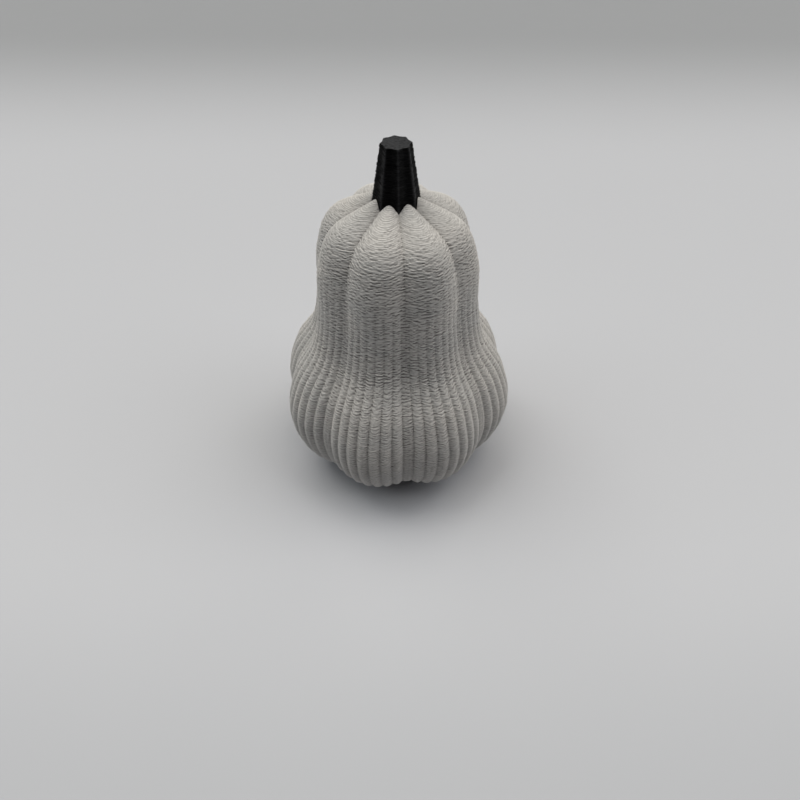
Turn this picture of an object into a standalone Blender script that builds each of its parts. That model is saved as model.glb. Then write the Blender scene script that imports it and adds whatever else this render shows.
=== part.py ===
# A printed ornament in the shape of a butternut squash: an off-white lobed body with fine upright ribs,
# and a black fluted stem that stands in a socket in its crown.
# Metres, +Z up. The origin is on the upright axis, in the middle of the flat spot that the body rests on.

import math

import bmesh
import bpy
import numpy as np
from mathutils import Vector

# Eight equal lobes, each with eight ribs. The first groove is turned from straight ahead (-Y) towards +X.
LOBE_COUNT = 8
RIBS_PER_LOBE = 8
FIRST_GROOVE = math.radians(6.2)

# The outline along the crest of a lobe, from the flat spot to the crown.
# Each station: crest radius, height, depth of the grooves between lobes, height of the fine ribs, and how
# the lobes swell: near 1 they are arches with a wide groove between, and lower they are fuller.
OUTLINE = (
    (0.0240, 0.0000, 0.0026, 0.0000, 1.14),
    (0.0352, 0.0040, 0.0032, 0.0006, 1.14),
    (0.0449, 0.0150, 0.0033, 0.0009, 1.14),
    (0.0484, 0.0330, 0.0039, 0.0009, 1.14),
    (0.0438, 0.0500, 0.0030, 0.0009, 1.14),
    (0.0347, 0.0645, 0.0022, 0.0005, 1.14),
    (0.0312, 0.0805, 0.0023, 0.0003, 1.14),
    (0.0297, 0.0980, 0.0028, 0.0001, 1.12),
    (0.0234, 0.1120, 0.0028, 0.0000, 1.00),
    (0.0060, 0.1210, 0.0018, 0.0000, 0.95),
)
STEPS_PER_STATION = 3
FLAT_SPOT_NOTCH = 0.0100      # how far each groove runs in towards the axis on the flat spot
BULB_POINTS_PER_RIB = 4       # crest, side, valley and side
NECK_POINTS_PER_RIB = 2       # crest and valley: the ribs are faint on the neck
BULB_TOP = 0.0640

# The stem: a tapered part that shows, on a straight foot that stands in the socket.
STEM_TOP = 0.1374
STEM_SHOULDER = 0.1170
STEM_FOOT = 0.1070
STEM_TOP_RADIUS = 0.0052
STEM_SHOULDER_RADIUS = 0.0085
STEM_FLUTE_DEPTH = 0.12       # as a share of the radius
STEM_RIM_BEVEL = 0.0004
POINTS_PER_FLUTE = 6

SOCKET_GAP = 0.0003
SOCKET_OPEN_ABOVE = 0.1270    # the cutter's top, clear above the crown

BODY_COLOUR = (0.80, 0.78, 0.745, 1.0)
BODY_ROUGHNESS = 0.80
STEM_COLOUR = (0.012, 0.012, 0.014, 1.0)
STEM_ROUGHNESS = 0.55


def clear_scene():
    for thing in list(bpy.data.objects):
        bpy.data.objects.remove(thing, do_unlink=True)


def plain_material(name, colour, roughness):
    material = bpy.data.materials.new(name)
    material.use_nodes = True
    shader = material.node_tree.nodes["Principled BSDF"]
    shader.inputs["Base Color"].default_value = colour
    shader.inputs["Roughness"].default_value = roughness
    shader.inputs["Metallic"].default_value = 0.0
    return material


def object_from(name, mesh_builder, material):
    """Turns a filled bmesh into one named object, smooth with sharp edges kept."""
    bmesh.ops.recalc_face_normals(mesh_builder, faces=mesh_builder.faces)
    mesh = bpy.data.meshes.new(name)
    mesh_builder.to_mesh(mesh)
    mesh_builder.free()
    mesh.shade_smooth()
    mesh.set_sharp_from_angle(angle=math.radians(50))
    thing = bpy.data.objects.new(name, mesh)
    bpy.context.scene.collection.objects.link(thing)
    if material:
        mesh.materials.append(material)
    return thing


def heading(angle):
    """Unit direction in plan: 0 is straight ahead (-Y), and it turns towards +X."""
    return Vector((math.sin(angle), -math.cos(angle), 0.0))


def smooth_stations(stations, steps):
    """Points of a smooth curve through the stations, in equal steps between each two."""
    knots = np.array(stations)
    last = len(knots) - 1
    slopes = []
    for i in range(last + 1):
        before = knots[max(i - 1, 0)]
        after = knots[min(i + 1, last)]
        slopes.append((after - before) / (6 if 0 < i < last else 3))
    points = []
    for i in range(last):
        leaving = knots[i] + slopes[i]
        arriving = knots[i + 1] - slopes[i + 1]
        for step in range(steps):
            t = step / steps
            rest = 1 - t
            point = knots[i] * rest ** 3 + leaving * 3 * rest ** 2 * t
            point += arriving * 3 * rest * t ** 2 + knots[i + 1] * t ** 3
            points.append(point)
    return points + [knots[last]]


def outward_normals(points):
    """Unit normals in the (radius, height) plane, pointing away from the axis."""
    normals = []
    last = len(points) - 1
    for i in range(last + 1):
        before = points[max(i - 1, 0)]
        after = points[min(i + 1, last)]
        along = Vector((after[0] - before[0], after[1] - before[1])).normalized()
        normals.append((along.y, -along.x))
    return normals


def lobe_drop(turn, swell):
    """0 on a lobe's crest and 1 in the groove beside it, for a turn measured from the first groove."""
    return 1.0 - abs(math.sin(turn * LOBE_COUNT / 2)) ** swell


def rib_rise(turn):
    """1 on a rib's crest and 0 in the narrow valley beside it. A rib runs along each groove and each crest."""
    return abs(math.cos(turn * LOBE_COUNT * RIBS_PER_LOBE / 2))


def close_end(builder, ring, centre):
    hub = builder.verts.new(centre)
    for i, vert in enumerate(ring):
        builder.faces.new((vert, ring[(i + 1) % len(ring)], hub))


def skin_rings(builder, rings):
    """Walls between rings that follow each other. A ring may have twice as many points as the one above it."""
    for lower, upper in zip(rings, rings[1:]):
        count = len(upper)
        for i in range(count):
            j = (i + 1) % count
            if len(lower) == count:
                builder.faces.new((lower[i], lower[j], upper[j], upper[i]))
            else:
                middle = lower[2 * i + 1]
                builder.faces.new((lower[2 * i], middle, upper[i]))
                builder.faces.new((middle, upper[j], upper[i]))
                builder.faces.new((middle, lower[2 * j], upper[j]))


def turns_of_ring(points_per_rib):
    count = LOBE_COUNT * RIBS_PER_LOBE * points_per_rib
    return [2 * math.pi * i / count for i in range(count)]


def flat_spot_ring(builder, radius, swell):
    ring = []
    for turn in turns_of_ring(BULB_POINTS_PER_RIB):
        place = heading(FIRST_GROOVE + turn) * (radius - FLAT_SPOT_NOTCH * lobe_drop(turn, swell))
        ring.append(builder.verts.new(place))
    return ring


def lobed_ring(builder, point, normal):
    """One level of the body: the grooves and the ribs are set in from the crest outline, along its normal."""
    radius, height, groove, rib, swell = point
    out_radial, out_up = normal
    ring = []
    for turn in turns_of_ring(BULB_POINTS_PER_RIB if height < BULB_TOP else NECK_POINTS_PER_RIB):
        offset = rib * (rib_rise(turn) - 1.0) - groove * lobe_drop(turn, swell)
        place = heading(FIRST_GROOVE + turn) * (radius + offset * out_radial)
        place.z = height + offset * out_up
        ring.append(builder.verts.new(place))
    return ring


def make_body(material):
    builder = bmesh.new()
    points = smooth_stations(OUTLINE, STEPS_PER_STATION)
    normals = outward_normals(points)
    rings = [flat_spot_ring(builder, points[0][0], points[0][4])]
    rings += [lobed_ring(builder, *level) for level in list(zip(points, normals))[1:]]
    skin_rings(builder, rings)
    close_end(builder, rings[0], (0.0, 0.0, 0.0))
    close_end(builder, rings[-1], (0.0, 0.0, points[-1][1]))
    return object_from("squash_body", builder, material)


def stem_radius(height):
    """The ridges' radius: straight up to the shoulder, then a plain taper to the top."""
    share = max(0.0, (height - STEM_SHOULDER) / (STEM_TOP - STEM_SHOULDER))
    return STEM_SHOULDER_RADIUS + (STEM_TOP_RADIUS - STEM_SHOULDER_RADIUS) * share


def fluted_ring(builder, radius, height):
    """Eight ridges with a shallow hollow between each two. The ridges line up with the body's grooves."""
    count = LOBE_COUNT * POINTS_PER_FLUTE
    ring = []
    for i in range(count):
        across = 2 * (i % POINTS_PER_FLUTE) / POINTS_PER_FLUTE - 1
        hollow = STEM_FLUTE_DEPTH * (1 - across ** 2)
        place = heading(FIRST_GROOVE + 2 * math.pi * i / count) * radius * (1 - hollow)
        place.z = height
        ring.append(builder.verts.new(place))
    return ring


def fluted_solid(name, levels, material):
    """A closed solid with one fluted ring for each (radius, height) level, from the bottom up."""
    builder = bmesh.new()
    rings = [fluted_ring(builder, radius, height) for radius, height in levels]
    skin_rings(builder, rings)
    close_end(builder, rings[0], (0.0, 0.0, levels[0][1]))
    close_end(builder, rings[-1], (0.0, 0.0, levels[-1][1]))
    return object_from(name, builder, material)


def make_stem(material):
    rim = STEM_TOP - STEM_RIM_BEVEL
    levels = [
        (STEM_SHOULDER_RADIUS, STEM_FOOT),
        (STEM_SHOULDER_RADIUS, STEM_SHOULDER),
        (stem_radius(rim), rim),
        (STEM_TOP_RADIUS - STEM_RIM_BEVEL, STEM_TOP),
    ]
    return fluted_solid("stem", levels, material)


def cut_socket(body):
    """Cuts the stem's own outline into the crown, a little larger all round."""
    levels = [
        (stem_radius(height) + SOCKET_GAP, height)
        for height in (STEM_FOOT - SOCKET_GAP, STEM_SHOULDER, SOCKET_OPEN_ABOVE)
    ]
    cutter = fluted_solid("socket_cutter", levels, None)
    cutter.hide_render = True
    cutter.display_type = 'WIRE'
    cut = body.modifiers.new("socket", 'BOOLEAN')
    cut.operation = 'DIFFERENCE'
    cut.object = cutter
    return cutter


def main():
    clear_scene()
    body = make_body(plain_material("off_white_print", BODY_COLOUR, BODY_ROUGHNESS))
    make_stem(plain_material("black_print", STEM_COLOUR, STEM_ROUGHNESS))
    cut_socket(body)


main()
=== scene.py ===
import itertools
import math

import bpy
import numpy as np
from mathutils import Matrix, Vector


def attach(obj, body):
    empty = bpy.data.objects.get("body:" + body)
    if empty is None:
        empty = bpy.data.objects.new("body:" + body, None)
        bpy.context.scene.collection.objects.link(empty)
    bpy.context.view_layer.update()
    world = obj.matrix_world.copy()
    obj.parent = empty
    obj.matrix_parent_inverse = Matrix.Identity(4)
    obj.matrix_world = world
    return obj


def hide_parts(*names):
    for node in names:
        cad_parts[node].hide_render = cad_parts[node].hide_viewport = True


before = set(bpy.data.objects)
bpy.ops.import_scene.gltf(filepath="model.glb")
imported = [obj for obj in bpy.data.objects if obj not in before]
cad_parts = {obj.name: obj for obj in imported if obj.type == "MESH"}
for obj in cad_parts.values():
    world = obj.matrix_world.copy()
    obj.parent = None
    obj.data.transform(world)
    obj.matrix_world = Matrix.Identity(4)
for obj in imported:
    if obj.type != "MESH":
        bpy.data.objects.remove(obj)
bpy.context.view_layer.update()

# A white printed ornament in the shape of a butternut squash, with a knitted look and a black fluted stem.
# Sizes are in millimetres until a mesh is made. A turn is measured from straight ahead (-Y) towards +X.

mm = 0.001
fullTurn = 2 * math.pi


# Shader sums: a Wire is one output of a material's node, and it adds and multiplies like a number.
class Wire:
    def __init__(self, tree, socket=None):
        self.tree = tree
        self.socket = socket

    # any node: its settings first, then the values or wires of its inputs, by name or by number
    def make(self, kind, settings=None, inputs=None, output=0):
        node = self.tree.nodes.new(kind)
        for name, value in (settings or {}).items():
            setattr(node, name, value)
        for key, value in (inputs or {}).items():
            if isinstance(value, Wire):
                self.tree.links.new(value.socket, node.inputs[key])
            else:
                node.inputs[key].default_value = value
        return Wire(self.tree, node.outputs[output] if node.outputs else None)

    def maths(self, operation, *values):
        return self.make("ShaderNodeMath", {"operation": operation}, dict(enumerate(values)))

    def __add__(self, other):
        return self.maths("ADD", self, other)

    def __sub__(self, other):
        return self.maths("SUBTRACT", self, other)

    def __rsub__(self, other):
        return self.maths("SUBTRACT", other, self)

    def __mul__(self, other):
        return self.maths("MULTIPLY", self, other)

    __radd__ = __add__
    __rmul__ = __mul__

    def wave(self, pitch):
        angle = self * (fullTurn / pitch)
        return angle.maths("SINE", angle)

    # two colours mixed, by a share from 0 to 1; a Mix node's colours go in at 6 and 7 and come out at 2
    def mixColours(self, share, first, second, blend='MIX'):
        return self.make("ShaderNodeMix", {"data_type": 'RGBA', "blend_type": blend},
                         {0: share, 6: first, 7: second}, output=2)

    def between(self, low, high):
        return self.mixColours(self, low, high)

    # 0 below low and 1 above high
    def rising(self, low, high):
        return self.make("ShaderNodeMapRange", {"interpolation_type": 'SMOOTHSTEP'},
                         {"Value": self, "From Min": low, "From Max": high})


def newMaterial(name):
    material = bpy.data.materials.new(name)
    material.use_nodes = True
    material.node_tree.nodes.clear()
    return material, Wire(material.node_tree)


def finishMaterial(start, finish):
    shader = start.make("ShaderNodeBsdfPrincipled", None, finish)
    start.make("ShaderNodeOutputMaterial", None, {"Surface": shader})


# position in the object, in millimetres
def placeInside(start):
    place = start.make("ShaderNodeTexCoord", output="Object")
    return place.make("ShaderNodeVectorMath", {"operation": 'SCALE'}, {0: place, "Scale": 1 / mm})


def alongAxis(place, axis):
    return place.make("ShaderNodeSeparateXYZ", None, {"Vector": place}, output=axis)


# soft noise in patches of one size across and up
def cloud(place, size, detail=2.0):
    across, up = size
    scaled = place.make("ShaderNodeVectorMath", {"operation": 'MULTIPLY'},
                        {0: place, 1: (1 / across, 1 / across, 1 / up)})
    return scaled.make("ShaderNodeTexNoise", None, {"Vector": scaled, "Scale": 1.0, "Detail": detail})


# the fine relief, in millimetres
def bumped(relief):
    return relief.make("ShaderNodeBump", None, {"Height": relief, "Distance": mm, "Strength": 1.0})


bodyFinish = {
    "crestColour": (0.68, 0.66, 0.634, 1),
    # the colour at full painted shade, laid into the knit's deep places, the joints, the ribs' valleys and
    # the grooves
    "paintedShadeColour": (0.17, 0.157, 0.149, 1),
    "shade": (0.93, 0.94, 0.95, 1),       # the cooler white that drifts over the print
    "driftSize": (22.0, 14.0),
    "driftBetween": (0.35, 0.65),
    "layerPitch": 0.42,
    "layerHeight": 0.02,
    "fuzz": 0.045,                        # height of the faint roughness, and its size across and up
    "fuzzSize": (1.5, 0.35),
    "fuzzDetail": 3.0,
    "roughness": 0.85,
    "roughnessSpread": 0.15,
    "specular": 0.35,
}


def makeBodyMaterial():
    f = bodyFinish
    material, start = newMaterial("offWhitePrint")
    place = placeInside(start)
    paintedShade = start.make("ShaderNodeAttribute", {"attribute_name": "paintedShade"}, output="Fac")
    fuzz = cloud(place, f["fuzzSize"], f["fuzzDetail"])
    drift = cloud(place, f["driftSize"])
    tint = drift.rising(*f["driftBetween"]).between((1, 1, 1, 1), f["shade"])
    # the plastic's white, darkened by the painted shade that each point carries
    plain = paintedShade.between(f["crestColour"], f["paintedShadeColour"])
    relief = alongAxis(place, "Z").wave(f["layerPitch"]) * f["layerHeight"] + fuzz * (2 * f["fuzz"])
    finishMaterial(start, {
        "Base Color": start.mixColours(1.0, plain, tint, 'MULTIPLY'),
        "Roughness": f["roughness"] + (fuzz - 0.5) * f["roughnessSpread"],
        "Metallic": 0.0,
        "Normal": bumped(relief),
        "Specular IOR Level": f["specular"],
    })
    return material


stemFinish = {
    "colour": (0.0005, 0.0005, 0.0007, 1),
    # the paler colour of the painted highlight along the ridges, and of the streaks
    "highlightAndStreakColour": (0.028, 0.028, 0.030, 1),
    "ridgeShare": 1.7,        # how strongly the painted highlight shows on the ridges, and the paler streaks between them
    "streakShare": 0.45,
    "streakSize": (1.5, 0.22),
    "streakBetween": (0.48, 0.78),
    "paleBetween": (0.05, 1.0),
    "smearSize": (2.2, 0.30),
    "smearDetail": 3.0,
    "smearHeight": 0.06,
    # painted sheen: the flat top is paler, as light glances off it
    "topSheenColour": (0.044, 0.045, 0.048, 1),
    "topAt": 137.2,           # the flat top's painted sheen starts at this height and blends in over topBlend
    "topBlend": 0.15,
    "topWhole": 1.2,          # higher leaves the top darker, with less painted sheen
    "hatch": 2.6,             # the slanting lines on the top: contrast, angle, size and height
    "hatchAngle": 0.8,
    "hatchSize": (0.7, 3.0),
    "hatchHeight": 0.05,
    "layerHeight": 0.03,
    "roughness": 0.42,
    "roughnessSpread": 0.3,
    "specular": 0.09,
}


def makeStemMaterial():
    f = stemFinish
    material, start = newMaterial("blackPrint")
    place = placeInside(start)
    height = alongAxis(place, "Z")
    ridgeHighlight = start.make("ShaderNodeAttribute", {"attribute_name": "ridgeHighlight"}, output="Fac")
    smear = cloud(place, f["smearSize"], f["smearDetail"])
    slanted = place.make("ShaderNodeVectorRotate", None, {"Vector": place, "Angle": f["hatchAngle"]})
    hatch = cloud(slanted, f["hatchSize"])
    streaks = cloud(place, f["streakSize"]).rising(*f["streakBetween"])
    # painted highlight along the ridges, with paler streaks between them
    highlightAndStreaks = ridgeHighlight * smear * f["ridgeShare"] + streaks * f["streakShare"]
    side = highlightAndStreaks.rising(*f["paleBetween"]).between(f["colour"], f["highlightAndStreakColour"])
    top = (height - f["topAt"]).rising(0.0, f["topBlend"])
    # the painted sheen on the flat top, broken by the slanting print lines
    hatchedSheen = (top * (1 + (hatch - 0.5) * f["hatch"])).rising(0.0, f["topWhole"])
    layers = height.wave(stem["layerPitch"]) * f["layerHeight"]
    relief = layers + smear * f["smearHeight"] + top * hatch * f["hatchHeight"]
    finishMaterial(start, {
        "Base Color": hatchedSheen.between(side, f["topSheenColour"]),
        "Roughness": f["roughness"] + (smear - 0.5) * f["roughnessSpread"],
        "Metallic": 0.0,
        "Normal": bumped(relief),
        "Specular IOR Level": f["specular"],
    })
    return material


# large numbers that turn a lattice corner's place into a number that looks random
scatter = {
    "axes": (73856093, 19349663, 83492791),
    "seed": 1013904223,
    "rounds": ((15, 2246822519), (13, 3266489917)),
    "whole": 0xFFFFFFFF,
}


# Smooth noise from -1 to 1 on a lattice of random numbers, the same for the same places in each run.
def latticeNoise(x, y, z, seed):
    lows = [np.floor(v).astype(np.int64) for v in (x, y, z)]
    shares = [v - low for v, low in zip((x, y, z), lows)]
    eased = [share * share * (3 - 2 * share) for share in shares]
    total = np.zeros_like(x)
    for corner in itertools.product((0, 1), repeat=3):
        code = 0
        for step, low, prime in zip(corner, lows, scatter["axes"]):
            code = code ^ (low + step) * prime
        code = (code + seed * scatter["seed"]) & scatter["whole"]
        for shift, factor in scatter["rounds"]:
            code = (code ^ (code >> shift)) * factor & scatter["whole"]
        value = ((code ^ (code >> 16)) & 0xFFFF) / (0xFFFF / 2) - 1
        for step, share in zip(corner, eased):
            value = value * (share if step else 1 - share)
        total += value
    return total


def rise(value, low, high):
    share = np.clip((value - low) / (high - low), 0, 1)
    return share * share * (3 - 2 * share)


body = {
    # crest radius, height, groove depth, rib height and lobe swell, from the flat spot to the crown
    "outline": (
        (24.0, 0.0, 2.6, 0.0, 1.14),
        (35.2, 4.0, 3.2, 0.6, 1.14),
        (44.9, 15.0, 3.3, 0.9, 1.14),
        (48.4, 33.0, 3.9, 0.9, 1.14),
        (43.8, 50.0, 3.0, 0.9, 1.14),
        (34.7, 64.5, 2.2, 0.5, 1.14),
        (31.2, 80.5, 2.3, 0.3, 1.14),
        (29.7, 98.0, 2.8, 0.1, 1.12),
        (23.4, 112.0, 2.8, 0.0, 1.00),
        (6.0, 121.0, 1.8, 0.0, 0.95),
    ),
    "lobes": 8,
    "ribsPerLobe": 8,
    "firstGroove": math.radians(6.2),
    "flatSpotNotch": 10.0,
    "flatSpotRings": (1.0, 0.97, 0.75, 0.5, 0.25, 0.06),      # shares of the way out to the notched rim
    "footBand": 0.027,        # share of the outline that bends from the flat spot into the bulb
    "footFade": 2.0,          # the creases start to cut in over this height
    "levelsUpTo": 107.0,      # rows are level up to here, and above it they spread to meet the socket's rim
    "crownFrom": 0.8,         # the socket's rim lies past this share of the outline
    "crownRows": 120,
    "columnsPerLobe": 80,
    "socketRings": (0.35, 1.5, 4.0, 9.0),     # how far the socket wall's rings lie below the rim
}

# the knitted look: printed rows that stand out and sit back in short lengths, each set against the rows
# above and below it; on the crown and at the foot the rows are finer and plainer, with clear joints between
creases = {
    # height of a row at each level
    "rows": ((0, 0.35), (50, 0.36), (70, 0.42), (96, 0.43), (110, 0.33), (125, 0.33)),
    # depth of the knit at each level
    "depths": ((0, 0.26), (12, 0.30), (30, 0.38), (50, 0.34), (58, 0.36), (70, 0.45), (104, 0.47),
               (114, 0.20), (121, 0.09)),
    "across": 0.88,           # the length over which a row changes
    "seed": 7,
    "longAcross": 2.6,        # and a longer, fainter change
    "longShare": 0.22,
    "longSeed": 9,
    "against": 0.90,          # how much each row is set against its neighbours
    "contrast": 0.90,
    "joint": 0.08,            # the extra depth between rows, and between the plainer ones
    "plainJoint": 0.16,
    "skin": 0.04,             # keeps the whole surface just inside the body's outline
    "plainAbove": (105, 115),
    "plainBelow": (20, 45),
    "plainFoot": 0.5,         # how plain the rows are at the foot: 1 is as plain as the crown
    # painted shade in the knit's deep places, the joints, the plainer joints, the ribs' valleys and the
    # grooves between lobes
    "knitShade": 0.9,
    "knitPower": 2.5,         # higher keeps the painted shade to the deepest places
    "knitFullDepth": 0.42,
    "jointShade": 0.10,
    "plainJointShade": 0.42,
    "ribValleyShade": 0.20,
    "valleyPower": 1.5,
    "fullRib": 0.9,
    "ribPower": 0.7,
    "grooveShade": 0.15,
    "grooveWidth": 1.0,
    "shadeBelowCrown": 0.07,          # painted shade, darker all over below the crown, for the knit's deeper creases
}

stem = {
    "foot": 107.0,
    "shoulder": 117.0,
    "top": 137.4,
    "shoulderRadius": 8.5,
    "topRadius": 5.2,
    "fluteDepth": 0.12,
    "fluteRound": 1.2,
    "gap": 0.3,
    "taperAtRim": 0.3,        # how much the stem has narrowed where it leaves the crown
    "rimRound": 0.45,
    "rimAngles": (0, 22, 45, 67, 90),
    "topRings": (0.93, 0.7, 0.45, 0.2),
    "hiddenRings": 5,
    "ringStep": 0.11,
    "columnsPerFlute": 14,
    "sharpAngle": 50,
    "ridgeSharpness": 6,      # higher keeps the painted highlight closer to the ridges
    "layerPitch": 0.45,
    "layerDepth": 0.12,
    "layerRoundness": 0.5,
    "jointDepth": 1.1,        # depth of the joints between layers, as a share of the layers' depth
    "uneven": 1.5,            # how much the layers differ, as a share of their depth
    "unevenAcross": 3.0,
    "unevenStep": 1.37,
    "unevenSeed": 21,
    "topFade": 0.5,           # the layers fade out this far below the top
}


# the smooth outline as even steps of arc length: radius, height, groove, rib, swell and the outward normal
def makeOutline(stations, stepsPerSpan=120, evenPoints=2001):
    knots = np.array(stations)
    last = len(knots) - 1
    handles = np.array([(knots[min(i + 1, last)] - knots[max(i - 1, 0)]) / (6 if 0 < i < last else 3)
                        for i in range(last + 1)])
    t = np.linspace(0, 1, stepsPerSpan, endpoint=False)[:, None]
    spans = []
    for i in range(last):
        a, b, c, d = knots[i], knots[i] + handles[i], knots[i + 1] - handles[i + 1], knots[i + 1]
        spans.append((1 - t) ** 3 * a + 3 * (1 - t) ** 2 * t * b + 3 * (1 - t) * t ** 2 * c + t ** 3 * d)
    points = np.vstack(spans + [knots[-1:]])
    length = np.r_[0, np.cumsum(np.hypot(*np.diff(points[:, :2], axis=0).T))]
    even = np.linspace(0, length[-1], evenPoints)
    outline = np.stack([np.interp(even, length, points[:, k]) for k in range(points.shape[1])], 1)
    along = np.gradient(outline[:, :2], axis=0)
    along /= np.linalg.norm(along, axis=1)[:, None]
    return np.hstack([outline, along[:, 1:], -along[:, :1]])


outline = makeOutline(body["outline"])
outlineShare = np.linspace(0, 1, len(outline))


def readOutline(share):
    return [np.interp(share, outlineShare, column) for column in outline.T]


def lobeDrop(turn, swell):
    return 1 - np.abs(np.sin(turn * body["lobes"] / 2)) ** swell


def ribRise(turn):
    return np.abs(np.cos(turn * body["lobes"] * body["ribsPerLobe"] / 2))


def flatSpotRadius(turn):
    radius, _, _, _, swell = body["outline"][0]
    return radius - body["flatSpotNotch"] * lobeDrop(turn, swell)


def flutedRadius(turn, radius):
    across = (turn * body["lobes"] / fullTurn) % 1 * 2 - 1
    return radius * (1 - stem["fluteDepth"] * np.cos(across * math.pi / 2) ** stem["fluteRound"])


# the body's plain surface above the foot, with lobes and ribs: radius, height, and the outline's normal there
def plainBody(share, turn):
    radius, height, groove, rib, swell, outward, upward = readOutline(share)
    offset = rib * (ribRise(turn) - 1) - groove * lobeDrop(turn, swell)
    return radius + offset * outward, height + offset * upward, outward, upward


# the same with the foot band, which runs straight in to the flat spot's rim
def bodySurface(share, turn):
    band = body["footBand"]
    edge = plainBody(np.full_like(share, band), turn)
    blend = np.clip(share / band, 0, 1)
    radius, height, outward, upward = plainBody(np.maximum(share, band), turn)
    footRadius = flatSpotRadius(turn)
    radius = np.where(share < band, footRadius + (edge[0] - footRadius) * blend, radius)
    height = np.where(share < band, edge[1] * blend, height)
    return radius, height, outward, upward


# how many rows lie below each height
rowHeights = np.linspace(0, creases["rows"][-1][0], 5001)
rowPitch = np.interp(rowHeights, *zip(*creases["rows"]))
rowCount = np.r_[0, np.cumsum(np.diff(rowHeights) / rowPitch[1:])]


# how far each place is set in, in millimetres, and how much painted shade it gets, from 0 to 1
def creaseRelief(x, y, z, turn, share):
    c = creases
    count = np.interp(z, rowHeights, rowCount)
    lower = np.floor(count - 0.5)
    between = count - 0.5 - lower
    draws = []
    for near in (-1, 0, 1, 2):
        short = latticeNoise(x / c["across"], y / c["across"], lower + near, c["seed"])
        long = latticeNoise(x / c["longAcross"], y / c["longAcross"], lower + near, c["longSeed"])
        draws.append((1 - c["longShare"]) * short + c["longShare"] * long)
    under = draws[1] - c["against"] * (draws[0] + draws[2]) / 2
    over = draws[2] - c["against"] * (draws[1] + draws[3]) / 2
    deep = np.clip(0.5 + c["contrast"] * (under + (over - under) * between), 0, 1)
    joint = 1 - np.abs(2 * between - 1)

    # the crown counts as wholly plain, and the foot in part
    depth = np.interp(z, *zip(*c["depths"]))
    crown = rise(z, *c["plainAbove"])
    plain = np.maximum(crown, c["plainFoot"] * (1 - rise(z, *c["plainBelow"])))
    jointDepth = c["joint"] + (c["plainJoint"] - c["joint"]) * plain
    inset = c["skin"] + depth * deep + jointDepth * joint

    radius, _, _, rib = readOutline(share)[:4]
    ribHeight = (np.maximum(rib, 0) / c["fullRib"]) ** c["ribPower"]
    valley = np.maximum(1 - ribRise(turn), 0) ** c["valleyPower"] * ribHeight
    fromGroove = np.abs((turn * body["lobes"] / fullTurn + 0.5) % 1 - 0.5) * fullTurn / body["lobes"] * radius
    inGroove = np.exp(-(fromGroove / c["grooveWidth"]) ** 2)
    # painted shade: in the knit's deep places, the joints, the ribs' valleys and the grooves between lobes,
    # and all over below the crown
    knit = deep ** c["knitPower"] * np.minimum(depth / c["knitFullDepth"], 1)
    jointShade = c["jointShade"] + (c["plainJointShade"] - c["jointShade"]) * plain
    paintedDarkness = c["shadeBelowCrown"] * (1 - crown) + c["knitShade"] * knit + jointShade * joint
    paintedDarkness = paintedDarkness + c["ribValleyShade"] * valley + c["grooveShade"] * inGroove
    return inset, paintedDarkness


def meshObject(name, points, faces, material, smooth=True):
    sizes = np.array([len(face) for face in faces])
    mesh = bpy.data.meshes.new(name)
    mesh.vertices.add(len(points))
    mesh.vertices.foreach_set("co", np.asarray(points, np.float32).ravel() * mm)
    mesh.loops.add(int(sizes.sum()))
    mesh.loops.foreach_set("vertex_index", np.concatenate(faces).astype(np.int32))
    mesh.polygons.add(len(sizes))
    mesh.polygons.foreach_set("loop_start", np.r_[0, np.cumsum(sizes)[:-1]].astype(np.int32))
    mesh.update(calc_edges=True)
    mesh.validate()
    if smooth:
        mesh.shade_smooth()
    mesh.materials.append(material)
    piece = bpy.data.objects.new(name, mesh)
    bpy.context.scene.collection.objects.link(piece)
    return piece


# one number for each point of a piece, which its material reads
def paint(piece, name, values):
    layer = piece.data.attributes.new(name, 'FLOAT', 'POINT')
    layer.data.foreach_set("value", values.astype(np.float32))


# faces of a sheet of rows and columns, facing out where rows run up and columns run with the turn
def gridFaces(rows, columns, closed=False):
    across = columns if closed else columns - 1
    row, column = np.meshgrid(np.arange(rows - 1), np.arange(across), indexing="ij")
    following = (column + 1) % columns
    return np.stack([row * columns + column, row * columns + following,
                     (row + 1) * columns + following, (row + 1) * columns + column], -1).reshape(-1, 4)


def placeOf(turn, radius, height):
    heading = body["firstGroove"] + turn
    return np.stack([radius * np.sin(heading), -radius * np.cos(heading), height], -1)


def markPiece(piece, node):
    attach(piece, "root")
    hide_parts(node)


# For one turn, the shares of the outline that the rows pass through: level rows first, then even steps
# along the crown to the socket's rim.
def rowShares(turn, samples=4001):
    share = np.linspace(0, 1, samples)
    radius, height, _, _ = bodySurface(share, np.full_like(share, turn))
    lastCount = np.interp(body["levelsUpTo"], rowHeights, rowCount)
    levels = np.interp(np.arange(0, lastCount, 0.5), rowCount, rowHeights)
    rising = np.maximum.accumulate(height + share * 1e-6)     # never level, so each height has one share
    level = np.interp(levels, rising, share)
    crown = share > body["crownFrom"]
    rimRadius = flutedRadius(turn, stem["shoulderRadius"] - stem["taperAtRim"]) + stem["gap"]
    rim = np.interp(-rimRadius, -radius[crown], share[crown])
    return np.r_[level, np.linspace(level[-1], rim, body["crownRows"] + 1)[1:]]


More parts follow.
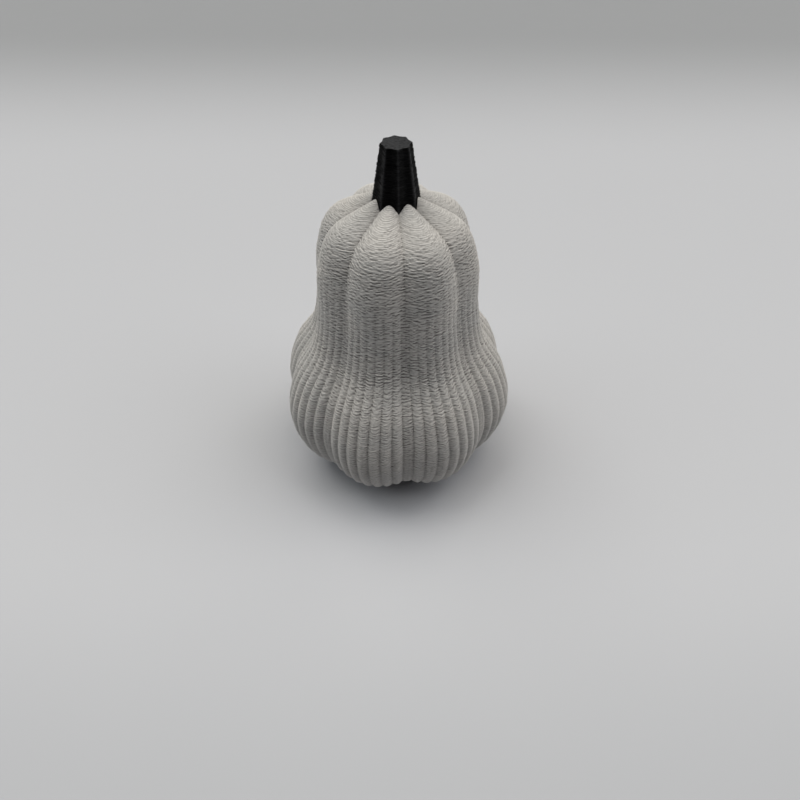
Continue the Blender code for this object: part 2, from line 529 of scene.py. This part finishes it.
def makeLobe(index, material):
    columns = body["columnsPerLobe"] + 1
    turn = fullTurn / body["lobes"] * (index + np.linspace(0, 1, columns))
    share = np.stack([rowShares(t) for t in turn], 1)
    turn = np.broadcast_to(turn, share.shape)
    radius, height, outward, upward = bodySurface(share, turn)
    plain = placeOf(turn, radius, height)
    inset, paintedDarkness = creaseRelief(plain[..., 0], plain[..., 1], height, turn, share)
    inset = inset * rise(height, 0.0, body["footFade"])
    points = placeOf(turn, radius - inset * outward, np.maximum(height - inset * upward, 0.0))

    # the socket's wall, down to its floor
    wall = []
    for drop in body["socketRings"]:
        ring = points[-1].copy()
        ring[:, 2] = ring[:, 2].min() - drop
        wall.append(ring)
    faces = gridFaces(len(share) + len(wall), columns)
    piece = meshObject(f"lobe{index + 1}", np.vstack([points.reshape(-1, 3), *wall]), faces, material)
    # the socket's wall gets full painted shade
    paint(piece, "paintedShade", np.r_[paintedDarkness.ravel(), np.ones(len(wall) * columns)])
    return piece


# the flat spot that the body rests on: rings from the lobed rim in to the middle
def makeFlatSpot(material):
    columns = body["columnsPerLobe"] * body["lobes"]
    turn = fullTurn * np.arange(columns) / columns
    rim = flatSpotRadius(turn)
    rings = [placeOf(turn, rim * share, np.zeros(columns)) for share in body["flatSpotRings"]]
    points = np.vstack(rings + [np.zeros((1, 3))])
    inner = (len(rings) - 1) * columns
    fan = [(inner + i, inner + (i + 1) % columns, inner + columns) for i in range(columns)]
    faces = [*gridFaces(len(rings), columns, closed=True), *fan]
    return meshObject("flatSpot", points, faces, material, smooth=False)


# the stem's levels: height, and how far the rounded rim has turned in
def stemLevels():
    s = stem
    rim = s["top"] - s["rimRound"]
    hidden = np.linspace(s["foot"], s["shoulder"], s["hiddenRings"], endpoint=False)
    shown = np.arange(s["shoulder"], rim, s["ringStep"])
    levels = [(height, 0.0) for height in np.r_[hidden, shown]]
    for angle in np.radians(s["rimAngles"]):
        levels.append((rim + s["rimRound"] * math.sin(angle), s["rimRound"] * (1 - math.cos(angle))))
    return levels


def stemRing(turn, height, inward):
    s = stem
    taper = max(0.0, (height - s["shoulder"]) / (s["top"] - s["shoulder"]))
    edge = flutedRadius(turn, s["shoulderRadius"] + (s["topRadius"] - s["shoulderRadius"]) * taper) - inward
    layer = math.floor(height / s["layerPitch"])
    bulge = abs(math.sin(math.pi * height / s["layerPitch"])) ** s["layerRoundness"]
    x, y = edge * np.sin(turn) / s["unevenAcross"], -edge * np.cos(turn) / s["unevenAcross"]
    uneven = latticeNoise(x, y, np.full(len(turn), layer * s["unevenStep"]), s["unevenSeed"])
    inset = s["layerDepth"] * (s["jointDepth"] - bulge + s["uneven"] * (0.5 + uneven))
    inset = inset * rise(s["top"] - height, 0.0, s["topFade"])
    return placeOf(turn, edge - np.maximum(inset, 0.0), np.full(len(turn), height))


def makeStem(material):
    columns = body["lobes"] * stem["columnsPerFlute"]
    turn = fullTurn * np.arange(columns) / columns
    rings = [stemRing(turn, height, inward) for height, inward in stemLevels()]
    topRim = rings[-1]
    for share in stem["topRings"]:
        ring = topRim * share
        ring[:, 2] = stem["top"]
        rings.append(ring)
    points = np.vstack(rings + [[[0, 0, stem["foot"]]], [[0, 0, stem["top"]]]])
    count = len(rings) * columns
    base = [((i + 1) % columns, i, count) for i in range(columns)]
    top = [(count - columns + i, count - columns + (i + 1) % columns, count + 1) for i in range(columns)]
    faces = [*gridFaces(len(rings), columns, closed=True), *base, *top]
    piece = meshObject("blackStem", points, faces, material)
    # the painted highlight's mask, strongest on the flutes' ridges
    across = np.abs((turn * body["lobes"] / fullTurn) % 1 * 2 - 1)
    paint(piece, "ridgeHighlight", np.r_[np.tile(across ** stem["ridgeSharpness"], len(rings)), 0, 0])
    piece.data.set_sharp_from_angle(angle=math.radians(stem["sharpAngle"]))
    return piece


offWhite = makeBodyMaterial()
black = makeStemMaterial()
print("materials made")

lobePieces = [makeLobe(i, offWhite) for i in range(body["lobes"])]
for piece in lobePieces + [makeFlatSpot(offWhite)]:
    markPiece(piece, "squash_body")
print("body made:", sum(len(p.data.polygons) for p in lobePieces), "faces")

stemPiece = makeStem(black)
markPiece(stemPiece, "stem")
print("stem made:", len(stemPiece.data.polygons), "faces")


studio = {
    "floorColour": (0.488, 0.497, 0.526, 1),
    "farShadeColour": (0.305, 0.313, 0.329, 1),
    "farBetween": (257.0, 569.0),         # painted shade: the floor darkens between these distances behind the object
    "nearShadeColour": (0.420, 0.430, 0.456, 1),
    "nearBetween": (-160.0, -60.0),       # and painted shade a little in front of it
    "mottleSize": (60.0, 60.0),
    "mottleDetail": 3.0,
    "floorRoughness": 0.55,
    "floorRoughnessSpread": 0.1,
    "floorSpecular": 0.3,
    "floorHalf": 3000,                    # half the floor's side
    "world": (0.80, 0.84, 0.90, 1),
    "worldStrength": 0.005,
    # each soft light: the side that it comes from (0 is behind, 90 is +X), its height in degrees, its
    # strength, its width in degrees and its colour
    "lights": {
        "backRight": (45, 62, 0.92, 42, (1.0, 0.96, 0.87)),
        "backLeft": (315, 62, 1.18, 42, (1.0, 0.97, 0.905)),
        "overhead": (0, 88, 0.56, 50, (1.0, 0.97, 0.92)),
        "rightSide": (90, 44, 0.95, 48, (1.0, 1.0, 1.0)),
        "leftSide": (270, 48, 0.77, 48, (0.97, 1.0, 1.0)),
    },
}


def makeFloor():
    material, start = newMaterial("paleTable")
    place = placeInside(start)
    behind = alongAxis(place, "Y")
    mottle = cloud(place, studio["mottleSize"], studio["mottleDetail"])
    # painted shade on the floor, a little in front of the object and far behind it
    near = behind.rising(*studio["nearBetween"]).between(studio["nearShadeColour"], studio["floorColour"])
    finishMaterial(start, {
        "Base Color": behind.rising(*studio["farBetween"]).between(near, studio["farShadeColour"]),
        "Roughness": studio["floorRoughness"] + mottle * studio["floorRoughnessSpread"],
        "Metallic": 0.0,
        "Specular IOR Level": studio["floorSpecular"],
    })
    half = studio["floorHalf"]
    points = np.array([(-half, -half, 0), (half, -half, 0), (half, half, 0), (-half, half, 0)], float)
    floor = meshObject("tableTop", points, [(0, 1, 2, 3)], material, smooth=False)


def makeLights():
    for name, (side, up, strength, width, colour) in studio["lights"].items():
        lamp = bpy.data.lights.new(name, 'SUN')
        lamp.energy = strength
        lamp.angle = math.radians(width)
        lamp.color = colour
        holder = bpy.data.objects.new(name, lamp)
        side, up = math.radians(side), math.radians(up)
        towards = Vector((math.sin(side) * math.cos(up), math.cos(side) * math.cos(up), math.sin(up)))
        holder.location = towards
        holder.rotation_euler = towards.to_track_quat('Z', 'Y').to_euler()
        bpy.context.scene.collection.objects.link(holder)
    world = bpy.data.worlds.new("softRoom")
    world.use_nodes = True
    background = world.node_tree.nodes["Background"]
    background.inputs["Color"].default_value = studio["world"]
    background.inputs["Strength"].default_value = studio["worldStrength"]
    bpy.context.scene.world = world


# the photograph's viewpoint: hand-held, looking down at the front of the object
shot = {
    "place": (1.3, -183.9, 222.3),
    "tiltDown": 47.82,
    "turn": -0.02,            # towards the left, in degrees
    "roll": 0.1,
    "lens": 27.27,
    "sensor": 36,
    "nearest": 0.01,          # in metres
    "exposure": 0.0,
}


def makeCamera():
    data = bpy.data.cameras.new("camera")
    data.lens = shot["lens"]
    data.sensor_width = shot["sensor"]
    data.clip_start = shot["nearest"]
    camera = bpy.data.objects.new("camera", data)
    turn = Matrix.Rotation(math.radians(shot["turn"]), 4, 'Z')
    tilt = Matrix.Rotation(math.radians(90 - shot["tiltDown"]), 4, 'X')
    roll = Matrix.Rotation(math.radians(shot["roll"]), 4, 'Z')
    camera.matrix_world = Matrix.Translation(Vector(shot["place"]) * mm) @ turn @ tilt @ roll
    bpy.context.scene.collection.objects.link(camera)
    bpy.context.scene.camera = camera
    view = bpy.context.scene.view_settings
    view.view_transform = 'Standard'
    view.look = 'None'
    view.exposure = shot["exposure"]


makeFloor()
makeLights()
makeCamera()
print("floor, lights and camera made")
